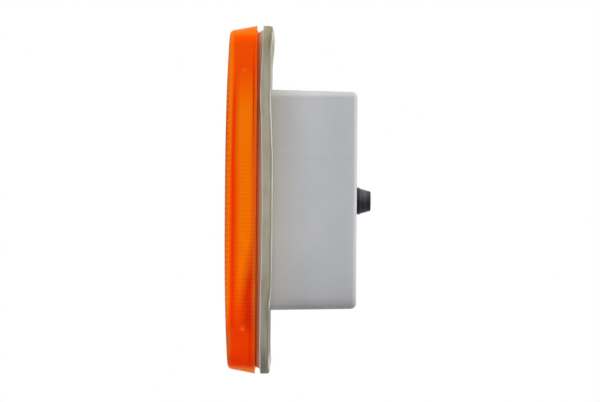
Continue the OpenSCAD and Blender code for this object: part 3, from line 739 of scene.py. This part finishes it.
def side_colour(tree, straight):
    """Colours of the sides by their depth, which paint the light through the walls and the shade low down,
    and change from the top of the lens to its bottom.
    """
    lean = math_of(tree, "MULTIPLY", place_of(tree, along_z, *lean_zone), upper_lean)
    depth = math_of(tree, "SUBTRACT", straight, lean)
    colour = ramp_of(tree, depth, middle_side)
    colour = mix_of(tree, place_of(tree, along_z, *upper_zone), colour, ramp_of(tree, depth, upper_side))
    colour = mix_of(tree, place_of(tree, along_z, *top_zone), colour, ramp_of(tree, depth, top_side))
    colour = mix_of(tree, place_of(tree, low_slant, *lower_zone), colour, ramp_of(tree, depth, lower_side))
    colour = tinted(tree, colour, low_shade, place_of(tree, along_z, *low_shade_zone))
    colour = mix_of(tree, place_of(tree, along_z, *bottom_zone), colour, ramp_of(tree, depth, bottom_side))
    return tinted(tree, colour, low_shade, place_of(tree, along_z, *foot_shade_zone))


def side_marks(tree, straight, colour):
    """Adds the painted shadow line near the rim, the painted light on the pale ends, the painted glints of
    the screws, and the painted shading of the flutes and the ridges.
    """
    # Painted shadow line near the rim
    shadow_line = math_of(tree, "MULTIPLY", levels_of(tree, straight, shadow_line_levels), *heights_of(tree, shadow_line_zones))
    colour = mix_of(tree, shadow_line, colour, shadow_line_red)
    # Painted light on the rounded ends
    for end in heights_of(tree, lit_end_zones):
        colour = mix_of(tree, end, colour, lit_end_amber)
    # Painted glints of the screw heads seen through the lens
    glint = range_of(tree, distance_of(tree, glint_place, (0, 1, 1)), *glint_r, 0, glint_share)
    colour = mix_of(tree, glint, colour, screw_glint)
    # Painted shading of the flutes
    flutes = math_of(tree, "MULTIPLY", stripes_of(tree, along_z, flute_pitch, flute_middle),
                     place_of(tree, along_y, *flute_depths))
    colour = tinted(tree, colour, flute_shading, flutes)
    # Painted shading of the ridges, made uneven by a noise
    uneven = range_of(tree, noise_of(tree, 160, 2), *cloud_places)
    ridges = math_of(tree, "MULTIPLY", stripes_of(tree, along_z, ridge_pitch, 0), uneven,
                     place_of(tree, along_y, *ridge_depths), *heights_of(tree, ridge_zones))
    return tinted(tree, colour, ridge_shading, ridges)


def amber():
    """Amber moulding with clear faces front and rear, and cloudy sides whose colour paints the light through
    them, redder where walls are thick.
    """
    material, tree, shader = new_material("amber_moulding")
    straight = place_of(tree, along_y, lens_front, lens_rear)
    colour = side_marks(tree, straight, side_colour(tree, straight))
    facing = facing_of(tree, "Y", *front_facing)
    colour = mix_of(tree, facing, colour, front_amber)
    tree.links.new(colour, shader.inputs["Base Color"])
    clearness = range_of(tree, facing, 0, 1, side_clearness)
    tree.links.new(clearness, shader.inputs["Transmission Weight"])
    tree.links.new(facing, shader.inputs["Coat Weight"])
    shader.inputs["IOR"].default_value = 1.49
    shader.inputs["Specular Tint"].default_value = amber_gloss
    shader.inputs["Specular IOR Level"].default_value = side_gloss
    roughness_of(tree, shader, noise_of(tree, 90), 0.12, 0.2)
    bump_of(tree, shader, noise_of(tree, 60, 2), 0.05, 0.2 * MM)
    return material


# Greys of the housing, and the zones that they give way in: painted lighter low down by the gasket, with
# painted shade towards the bottom of the box
cloud_greys = (srgb(176, 177, 181), srgb(182, 183, 187))
# Warmer greys by the gasket, painted lighter low down
warm_lit_greys = (srgb(168, 166, 161), srgb(186, 184, 179))
warm_lit_zone = (50 * MM, -15 * MM)
gasket_zone = (16 * MM, 0)
# Painted shade towards the bottom of the box, and how much less of it there is by the gasket
box_shade_zone = (-57 * MM, 8 * MM)
box_shade_levels = [(0.02, 0.52), (0.1, 0.79), (0.16, 0.86), (0.44, 0.97), (0.62, 1)]
less_shade_by_gasket = 0.5
# Painted shading of a faint line across the box: lighter above, darker below
line_shade_zone = (19.5 * MM, 28.5 * MM)
line_shade_levels = [(0.15, 0.98), (0.32, 0.955), (0.5, 0.98), (0.67, 1.0), (0.85, 0.98)]
rear_zone = (22 * MM, 36 * MM)
rear_grey = (0.93, 0.93, 0.93, 1)

# Painted glow of the lens on the neck behind it
neck_zone = (-5 * MM, -5.4 * MM)
glow_zone = (-8.5 * MM, -5.2 * MM)
neck_glow = [(0.0, srgb(255, 90, 12)), (0.1, srgb(255, 88, 18)), (0.36, srgb(222, 114, 68)),
             (0.52, srgb(220, 146, 108)), (1.0, srgb(204, 178, 154))]


def grey_moulding():
    """Light grey satin plastic, warmer near the gasket and painted lighter low down there, with painted shade
    towards the bottom of the box, half as much by the gasket, a painted faint line across it, darker towards
    the rear, and the painted glow of the lens on its neck.
    """
    material, tree, shader = new_material("grey_moulding")
    cool = clouds_of(tree, noise_of(tree, 45, 4), *cloud_greys)
    # Warmer greys by the gasket, painted lighter low down
    warm_lit = mix_of(tree, place_of(tree, along_z, *warm_lit_zone), *warm_lit_greys)
    near_gasket = place_of(tree, along_y, *gasket_zone)
    colour = mix_of(tree, near_gasket, cool, warm_lit)
    shaded = math_of(tree, "SUBTRACT", 1.0, math_of(tree, "MULTIPLY", near_gasket, less_shade_by_gasket))
    # Painted shade towards the bottom of the box, half as much by the gasket
    box_shade = levels_of(tree, place_of(tree, along_z, *box_shade_zone), box_shade_levels)
    colour = tinted(tree, colour, box_shade, shaded)
    # Painted shading of a faint line across the box
    colour = tinted(tree, colour, levels_of(tree, place_of(tree, along_z, *line_shade_zone), line_shade_levels))
    colour = tinted(tree, colour, rear_grey, place_of(tree, along_y, *rear_zone))
    # Painted glow of the lens on the neck
    glow = ramp_of(tree, place_of(tree, along_y, *glow_zone), neck_glow)
    colour = mix_of(tree, place_of(tree, along_y, *neck_zone), colour, glow)
    tree.links.new(colour, shader.inputs["Base Color"])
    roughness_of(tree, shader, noise_of(tree, 120, 3), 0.42, 0.56)
    bump_of(tree, shader, noise_of(tree, 900, 3), 0.12, 0.05 * MM)
    return material


# Tones of the gasket in its streaks, and the heights that they lie at
middle_rubber = (srgb(146, 140, 122), srgb(156, 150, 132), srgb(162, 156, 141))
lower_rubber = (srgb(118, 112, 96), srgb(133, 129, 112), srgb(142, 138, 122))
bottom_rubber = (srgb(74, 70, 60), srgb(88, 84, 74), srgb(112, 102, 90))
# Browner tones at the top, darker as painted shade
top_rubber = (srgb(116, 108, 82), srgb(132, 126, 100), srgb(144, 137, 113))
low_rubber_zone = (-10 * MM, -60 * MM)
bottom_rubber_zone = (-66 * MM, -92 * MM)
top_rubber_zone = (68 * MM, 82 * MM)
rubber_depths = (-4 * MM, -2.6 * MM)

# Finishes of the gasket: tint, and how much its low end is darker at the front and at the rear. The pale and
# highlit one is lighter and paints the highlight on the edge of the lip; the shaded one paints the shade in
# the groove and at the foot of the land
rubber_finishes = {
    "grey_rubber": ((1, 1, 1, 1), 1, 1),
    "pale_and_highlit_rubber": ((1.85, 1.95, 2.25, 1), 0.15, 0.6),
    "shaded_rubber": ((0.76, 0.77, 0.76, 1), 0.6, 0.6),
}


def grey_rubber(name, tint, front_share, rear_share):
    """Greenish grey rubber in soft upright streaks, browner at its top and darker there with painted shade,
    and darker at its low end.
    """
    material, tree, shader = new_material(name)
    streaks = noise_of(tree, 260, 3, 0.5, (1, 1, 0.2))
    middle, lower, bottom, top = (
        ramp_of(tree, streaks, list(zip(streak_places, tones)))
        for tones in (middle_rubber, lower_rubber, bottom_rubber, top_rubber)
    )
    dark = mix_of(tree, place_of(tree, along_z, *bottom_rubber_zone), lower, bottom)
    share = range_of(tree, place_of(tree, along_y, *rubber_depths), 0, 1, front_share, rear_share)
    low = math_of(tree, "MULTIPLY", place_of(tree, along_z, *low_rubber_zone), share)
    colour = mix_of(tree, low, middle, dark)
    colour = mix_of(tree, place_of(tree, along_z, *top_rubber_zone), colour, top)
    colour = tinted(tree, colour, tint)
    tree.links.new(colour, shader.inputs["Base Color"])
    roughness_of(tree, shader, streaks, 0.55, 0.75)
    bump_of(tree, shader, noise_of(tree, 1500, 2, 0.6), 0.25, 0.1 * MM)
    return material


# Blacks of the grommet: its painted light and shade from its flange to its tip, with a painted highlight
# round its middle, and its painted shade underneath
boot_blacks = (srgb(62, 62, 66), srgb(82, 82, 87))
boot_light_and_shade = [(0.06, 0.62), (0.12, 0.36), (0.22, 0.36), (0.3, 0.9), (0.5, 0.8), (0.62, 1.3),
             (0.76, 0.8), (0.9, 0.45)]
boot_underside_shade = (0.3, 0.28, 0.33, 1)
boot_underside_shade_zone = (3.5 * MM, -1.5 * MM)
boot_gloss = 0.12


def black_rubber():
    """Black rubber, with a painted highlight round its middle and painted shade at its base, its tip and
    below.
    """
    material, tree, shader = new_material("black_rubber")
    cloud = noise_of(tree, 260, 4)
    along_boot = place_of(tree, along_y, housing_rear, grommet_high.y)
    # Painted light and shade along the boot, and painted shade underneath
    colour = tinted(tree, clouds_of(tree, cloud, *boot_blacks), levels_of(tree, along_boot, boot_light_and_shade))
    colour = tinted(tree, colour, boot_underside_shade, place_of(tree, along_z, *boot_underside_shade_zone))
    tree.links.new(colour, shader.inputs["Base Color"])
    shader.inputs["Specular IOR Level"].default_value = boot_gloss
    roughness_of(tree, shader, cloud, 0.25, 0.4)
    bump_of(tree, shader, noise_of(tree, 1500, 3), 0.15, 0.05 * MM)
    return material


# Plain finishes: colour, metallic, lowest and highest roughness, and for some the scale of their clouds
# and the strength of their bump
plain_finishes = {
    "zinc_plate": (srgb(196, 190, 172), 1, 0.28, 0.42),
    "bright_plate": (srgb(214, 213, 208), 1, 0.2, 0.34),
    "brass": (srgb(206, 168, 92), 1, 0.22, 0.36),
    "tungsten": (srgb(120, 120, 124), 1, 0.35, 0.5),
    "metallised": (srgb(226, 227, 230), 1, 0.08, 0.16, 60, 0.03),
    "seal_rubber": (srgb(44, 44, 46), 0, 0.6, 0.8),
    # The seal cord is painted with the amber light of the lens
    "amber_lit_cord": (srgb(250, 118, 40), 0, 0.6, 0.8),
    "pressed_fibre": (srgb(128, 88, 56), 0, 0.7, 0.85, 700, 0.4),
    "brown_moulding": (srgb(94, 62, 44), 0, 0.35, 0.5),
    "black_glass": (srgb(36, 34, 40), 0, 0.08, 0.2),
}
cloud_dark = 0.86

# Solids that stay in view, by their finish
dressed = {
    "zinc_plate": ["holder_bracket", "holder_shell", "contact_spring", "bulb_leads", "bulb_contact"],
    "bright_plate": ["lens_screws", "reflector_screws", "holder_rivets"],
    "brass": ["screw_inserts", "contact_plunger", "live_terminal", "earth_terminal", "bulb_cap", "bulb_pins"],
    "tungsten": ["bulb_filament"],
    "metallised": ["reflector"],
    "seal_rubber": ["screw_washers"],
    # Seal cord painted with the light of the lens
    "amber_lit_cord": ["lens_seal"],
    "pressed_fibre": ["contact_disc"],
    "brown_moulding": ["holder_base"],
    "black_glass": ["bulb_insulator"],
    "clear_glass": ["bulb_glass", "bulb_stem"],
    "grey_moulding": ["housing"],
}


def plain(name, colour, metallic, low, high, scale=300, bump=0.1):
    """A material with faint clouds in its colour, roughness and surface."""
    material, tree, shader = new_material(name)
    cloud = noise_of(tree, scale, 4)
    dark = [c * cloud_dark for c in colour[:3]] + [1]
    tree.links.new(clouds_of(tree, cloud, dark, colour), shader.inputs["Base Color"])
    shader.inputs["Metallic"].default_value = metallic
    roughness_of(tree, shader, cloud, low, high)
    bump_of(tree, shader, cloud, bump, 0.05 * MM)
    return material


def clear_glass():
    """Clear glass of a bulb."""
    material, tree, shader = new_material("clear_glass")
    shader.inputs["Base Color"].default_value = (1, 1, 1, 1)
    shader.inputs["Transmission Weight"].default_value = 1
    shader.inputs["IOR"].default_value = 1.47
    roughness_of(tree, shader, noise_of(tree, 200), 0.0, 0.03)
    return material


def dress(obj, material):
    """Gives a solid its finish, smooth but for its sharp edges."""
    obj.data.materials.clear()
    obj.data.materials.append(material)
    weld = obj.modifiers.new("weld", "WELD")
    weld.merge_threshold = 0.001 * MM
    for face in obj.data.polygons:
        face.use_smooth = True
    split = obj.modifiers.new("sharp", "EDGE_SPLIT")
    split.split_angle = math.radians(solid_sharp)


def dress_nodes():
    """Gives each solid that stays in view its finish."""
    finishes = {name: plain(name, *values) for name, values in plain_finishes.items()}
    finishes["clear_glass"] = clear_glass()
    finishes["grey_moulding"] = grey_moulding()
    for finish, names in dressed.items():
        for name in names:
            dress(nodes[name], finishes[finish])


def place_piece(obj, node, *finishes):
    """Puts a piece in the place of a solid, on the one body."""
    for finish in finishes:
        obj.data.materials.append(finish)
    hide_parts(node)
    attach(obj, "root")


# Floor, whose pale grey fades to white, and the light of the surroundings from below to above
floor_z = -150 * MM
floor_r = 900 * MM
floor_fade = (160 * MM, 420 * MM)
floor_grey = (0.86, 0.86, 0.86, 1)
floor_roughness = 0.9
light_below = 0.08
light_above = 0.75
seen_white = ["Is Camera Ray", "Is Glossy Ray", "Is Transmission Ray"]

# Soft lights: name, place, size and watts
soft_lights = [
    ("top", (0.25, 0.15, 0.9), 0.8, 3),
    ("side", (0.45, 0.1, 0.4), 0.35, 1),
    ("rear", (0.05, 0.95, 0.25), 0.6, 7),
    ("front", (0.55, -0.8, 0.15), 0.6, 2),
]

# Camera, at which one pixel of the photograph is photo_scale at the near side of the box
photo_scale = 0.518 * MM
photo_w = 600
sensor_w = 36.0
camera_x = 1.3
near_side_x = 38 * MM
view_y = 14.2 * MM
view_z = -0.5 * MM
view_roll = math.radians(-0.45)


def light_path(tree, names):
    """1 where a ray is of one of the named kinds."""
    path = tree.nodes.new("ShaderNodeLightPath")
    return math_of(tree, "MAXIMUM", *(path.outputs[name] for name in names))


def mix_shaders(tree, share, a, b, output):
    """Blends two shaders by a share and shows them."""
    mix = tree.nodes.new("ShaderNodeMixShader")
    tree.links.new(share, mix.inputs["Fac"])
    tree.links.new(a, mix.inputs[1])
    tree.links.new(b, mix.inputs[2])
    tree.links.new(mix.outputs["Shader"], output.inputs["Surface"])


def make_world():
    """White as seen and mirrored, and a softer light on the object that is brighter from above."""
    world = bpy.data.worlds.new("studio")
    bpy.context.scene.world = world
    world.use_nodes = True
    tree = world.node_tree
    tree.nodes.clear()
    output = tree.nodes.new("ShaderNodeOutputWorld")
    seen = tree.nodes.new("ShaderNodeBackground")
    lit = tree.nodes.new("ShaderNodeBackground")
    for background in (seen, lit):
        background.inputs["Color"].default_value = (1, 1, 1, 1)
    coords = tree.nodes.new("ShaderNodeTexCoord")
    split = tree.nodes.new("ShaderNodeSeparateXYZ")
    tree.links.new(coords.outputs["Generated"], split.inputs["Vector"])
    rise = range_of(tree, split.outputs["Z"], -1, 1, light_below, light_above)
    tree.links.new(rise, lit.inputs["Strength"])
    mix_shaders(tree, light_path(tree, seen_white), lit.outputs[0], seen.outputs[0], output)


def make_floor():
    """A pale round floor that keeps the shadow and fades to white."""
    bm = bmesh.new()
    bmesh.ops.create_circle(bm, cap_ends=True, segments=floor_segments, radius=floor_r)
    bmesh.ops.translate(bm, verts=bm.verts, vec=(0, 0, floor_z))
    floor = new_object("floor", bm)
    material, tree, shader = new_material("pale_floor")
    shader.inputs["Base Color"].default_value = floor_grey
    shader.inputs["Roughness"].default_value = floor_roughness
    white = tree.nodes.new("ShaderNodeEmission")
    glow = range_of(tree, light_path(tree, seen_white), 0, 1, light_below)
    tree.links.new(glow, white.inputs["Strength"])
    fade = range_of(tree, distance_of(tree, (0, 0, 0), (1, 1, 0)), *floor_fade)
    output = next(n for n in tree.nodes if n.type == "OUTPUT_MATERIAL")
    mix_shaders(tree, fade, shader.outputs["BSDF"], white.outputs["Emission"], output)
    floor.data.materials.append(material)


def soft_light(name, place, size, watts):
    """A square soft light that faces the lamp."""
    light = bpy.data.lights.new(name, "AREA")
    light.shape = "SQUARE"
    light.size = size
    light.energy = watts
    obj = bpy.data.objects.new(name, light)
    bpy.context.scene.collection.objects.link(obj)
    obj.location = place
    obj.rotation_euler = (-Vector(place)).to_track_quat("-Z", "Y").to_euler()


def make_camera():
    """Looks along -X, turned a little about its view axis as the photograph is."""
    camera = bpy.data.cameras.new("camera")
    camera.sensor_width = sensor_w
    camera.lens = sensor_w * (camera_x - near_side_x) / (photo_w * photo_scale)
    obj = bpy.data.objects.new("camera", camera)
    bpy.context.scene.collection.objects.link(obj)
    obj.location = (camera_x, view_y, view_z)
    obj.rotation_euler = (math.pi / 2, view_roll, math.pi / 2)
    bpy.context.scene.camera = obj


dress_nodes()
place_piece(make_lens(), "lens", amber())
place_piece(make_gasket(), "panel_gasket",
            *(grey_rubber(name, *values) for name, values in rubber_finishes.items()))
place_piece(make_grommet(), "grommet", black_rubber())

make_world()
make_floor()
for values in soft_lights:
    soft_light(*values)
make_camera()
bpy.context.scene.view_settings.view_transform = "Standard"
